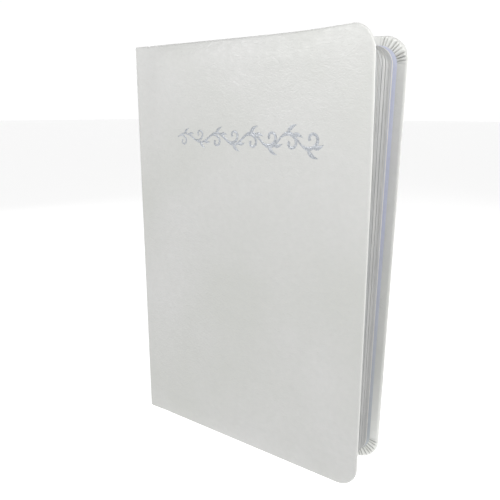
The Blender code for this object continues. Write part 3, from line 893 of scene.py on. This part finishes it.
def stem_line(t):
    """The stem's wave, which grows to the right."""
    x = ORNAMENT_X[0] + (ORNAMENT_X[1] - ORNAMENT_X[0]) * t
    height = (1.8 + 2.3 * t) * MM
    return x, ORNAMENT_Z + height * np.sin(math.pi * SCROLLS * t)


def tendril(start, heading, length, bend_first, bend_last, steps):
    """A line that leaves start at a heading and curls more and more tightly; the bends are per metre."""
    s = np.linspace(0, 1, steps)
    turned = heading + length * (bend_first * s + (bend_last - bend_first) * s ** 3 / 3)
    step = length / (steps - 1)
    x = start[0] + np.concatenate([[0], np.cumsum(np.cos(turned[:-1]) * step)])
    z = start[1] + np.concatenate([[0], np.cumsum(np.sin(turned[:-1]) * step)])
    return x, z


def ribbon(x, z, half_width, lift):
    """A stroke along a line, as a closed strip that lies on the front cover's leather."""
    dx, dz = np.gradient(x), np.gradient(z)
    length = np.hypot(dx, dz)
    nx, nz = -dz / length, dx / length
    rows = []
    for across, height in ((1, 0.0), (0.8, 1.0), (0, 1.25), (-0.8, 1.0), (-1, 0.0)):
        px, pz = x + nx * half_width * across, z + nz * half_width * across
        depth = relief(px, pz, "front") + FOIL_SINK - (lift + FOIL_SINK) * height
        rows.append(place(px, pz, depth, "front", bend_front))
    count, across = len(x), len(rows)
    points = np.stack(rows, axis=1).reshape(-1, 3)
    faces = []
    for i in range(count - 1):
        for j in range(across):
            a, b = i * across + j, i * across + (j + 1) % across
            faces.append([a, a + across, b + across, b])
    faces.append(list(range(across)))
    faces.append([(count - 1) * across + j for j in range(across)][::-1])
    return points, faces


def stem_heading(t):
    """The direction that the stem runs in."""
    x0, z0 = stem_line(t)
    x1, z1 = stem_line(t + 0.002)
    return math.atan2(z1 - z0, x1 - x0)


def scroll(root, way, size):
    """A tendril that leaves the stem, curls up and ends in a bud."""
    s = np.linspace(0, 1, SCROLL_POINTS)
    heading = stem_heading(root) - way * 0.1
    bends = (-way * 190 / size, -way * 900 / size)
    x, z = tendril(stem_line(root), heading, 15 * MM * size, *bends, SCROLL_POINTS)
    return x, z, MM * size * (0.34 + 0.34 * np.sin(math.pi * s ** 0.8) + 0.32 * s ** 6)


def leaf(root, way, size, spread, length):
    """A small leaf beside the stem, widest near its foot."""
    s = np.linspace(0, 1, LEAF_POINTS)
    heading = stem_heading(root) + way * spread
    x, z = tendril(stem_line(root), heading, length * size * MM, -way * 120, -way * 260, LEAF_POINTS)
    return x, z, MM * size * (0.10 + 0.85 * np.sin(math.pi * s ** 0.75) ** 1.2 * (1 - 0.3 * s))


def ornament_strokes():
    """Every stroke of the vine, as (x, z, half width)."""
    t = np.linspace(0.0, 1.0, STEM_POINTS)
    strokes = [(*stem_line(t), MM * (0.36 + 0.28 * np.sin(math.pi * t)))]
    for k in range(SCROLLS):
        root = (k + 0.12) / SCROLLS
        way = 1 if k % 2 == 0 else -1
        size = 0.78 + 0.56 * root
        strokes.append(scroll(root, way, size))
        for share, spread, length in ((0.35, 0.9, 5.2), (0.62, 0.75, 4.4)):
            strokes.append(leaf(root + share / SCROLLS, way, size, spread, length))
    return strokes


def build_ornament(looks):
    """All strokes in one mesh, laid on the front cover."""
    points, faces = [], []
    for number, (x, z, half_width) in enumerate(ornament_strokes()):
        new_points, new_faces = ribbon(x, z, half_width, FOIL_LIFT + number % 5 * STROKE_LIFT)
        start = sum(len(p) for p in points)
        points.append(new_points)
        faces += [[v + start for v in face] for face in new_faces]
    obj = make_object("foil_vine", np.concatenate(points), faces, [looks["foil"]], sharp=60)
    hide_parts("front_foil_sprig")
    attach(obj, "front_cover")


# CAD nodes that stay

def dress_nodes(looks):
    """Procedural materials for the CAD nodes that stay."""
    dressed = {
        "board": ["front_cover_board", "back_cover_board", "front_spine_inlay", "back_spine_inlay"],
        "infill": ["front_cover_infill", "back_cover_infill"],
        "mull": ["front_spine_mull", "back_spine_mull"],
        "thread": ["front_sewing_thread", "back_sewing_thread"],
    }
    for look, names in dressed.items():
        for name in names:
            node = frame["nodes"][name]
            node.data.materials.clear()
            node.data.materials.append(looks[look])


# Stage, light and camera

FLOOR_SIZE = 24.0
FLOOR_GAP = 0.2 * MM  # so that the book's lowest faces do not lie in the floor's plane

def build_stage():
    """A pale floor that glows a little, so that it shows almost white."""
    bpy.ops.mesh.primitive_plane_add(size=FLOOR_SIZE, location=(0, 0, -FLOOR_GAP))
    floor = bpy.context.object
    floor.name = "floor"
    look, shader = new_look("pale_floor", (0.60, 0.60, 0.60), 0.9, Emission_Strength=0.79)
    shader.inputs["Emission Color"].default_value = (1, 1, 1, 1)
    floor.data.materials.append(look)


def area_light(name, location, target, size, power):
    """A rectangular lamp that faces its target; its power is in watts."""
    data = bpy.data.lights.new(name, "AREA")
    data.shape = "RECTANGLE"
    data.size, data.size_y = size
    data.energy = power
    obj = bpy.data.objects.new(name, data)
    obj.location = location
    obj.rotation_euler = (Vector(target) - Vector(location)).to_track_quat("-Z", "Y").to_euler()
    bpy.context.scene.collection.objects.link(obj)


def build_world():
    """White up to about 12 degrees above the horizon, and much dimmer from 21 degrees up."""
    world = bpy.data.worlds.new("studio")
    world.use_nodes = True
    tree = world.node_tree
    background = tree.nodes["Background"]
    background.inputs["Color"].default_value = (1, 1, 1, 1)
    direction = tree.nodes.new("ShaderNodeTexCoord")
    parts = tree.nodes.new("ShaderNodeSeparateXYZ")
    level = tree.nodes.new("ShaderNodeMapRange")
    level.interpolation_type = "SMOOTHSTEP"
    for key, value in (("From Min", 0.20), ("From Max", 0.36), ("To Min", 1.03), ("To Max", 0.14)):
        level.inputs[key].default_value = value
    tree.links.new(direction.outputs["Generated"], parts.inputs[0])
    tree.links.new(parts.outputs["Z"], level.inputs["Value"])
    tree.links.new(level.outputs["Result"], background.inputs["Strength"])
    bpy.context.scene.world = world


def build_lights():
    build_world()
    area_light("softbox", (-0.21, -0.40, 0.31), (0.02, -0.02, 0.20), (0.18, 0.025), 0.33)
    area_light("overhead", (0.05, -0.20, 0.42), (0.02, -0.02, 0.17), (0.30, 0.08), 0.30)
    area_light("fore_edge", (0.20, -0.12, 0.31), (0.07, 0, 0.14), (0.12, 0.12), 0.24)
    area_light("rear_fill", (0.42, 0.62, 0.34), (0, 0, 0.12), (0.40, 0.10), 2.0)
    area_light("spine_fill", (-0.65, 0.15, 0.45), (-0.07, 0, 0.12), (0.40, 0.40), 1.6)


def build_camera():
    """In front of the book on its fore-edge's side, a little lower than its head, and looking down. The
    distances are shares of the book's height."""
    data = bpy.data.cameras.new("camera")
    data.sensor_width = 36.0
    data.lens = 40.53
    camera = bpy.data.objects.new("camera", data)
    offset = Vector((1.1361, -1.0432, 0.8393)) * HEIGHT
    camera.location = Vector((SPINE_X, FACE_Y["front"], 0)) + offset
    yaw, pitch, roll = math.radians(-36.32), math.radians(-13.72), math.radians(-0.02)
    camera.rotation_mode = "XYZ"
    camera.rotation_euler = (math.pi / 2 + pitch, roll, -yaw)
    bpy.context.scene.collection.objects.link(camera)
    bpy.context.scene.camera = camera


def main():
    bpy.context.scene.view_settings.view_transform = "Standard"
    build_camera()
    build_stage()
    build_lights()
    looks = {
        "leather": leather_look(),
        "silver": silver_edge_look(),
        "page": paper_look("bible_paper", (0.80, 0.79, 0.76), (0.74, 0.73, 0.70)),
        "endpaper": paper_look(
            "lavender_paper", (0.60, 0.625, 0.74), (0.55, 0.57, 0.68),
            painted_shade_at_tail=(0.62, 0.65, 0.66),  # painted shade: the photo's endpaper is greyer there
        ),
        "infill": paper_look("infill_paper", (0.72, 0.70, 0.65), (0.66, 0.64, 0.58)),
        "board": paper_look("cover_board", (0.50, 0.46, 0.38), (0.40, 0.36, 0.30), 2.5 * MM),
        "mull": woven_look("mull_gauze", (0.80, 0.77, 0.68), (0.45, 0.42, 0.36), 0.8 * MM),
        "thread": woven_look("linen_thread", (0.82, 0.80, 0.74), (0.60, 0.58, 0.52), 0.3 * MM),
        "band": band_look(),
        "foil": foil_look(),
    }
    for side in SIGN:
        build_cover_leather(side, looks)
        build_pastedown(side, looks)
        build_gatherings(side, looks)
        build_flyleaf(side, looks)
        for end in ("head", "tail"):
            build_band(side, end, looks)
    build_spine_back(looks)
    build_ornament(looks)
    dress_nodes(looks)


main()
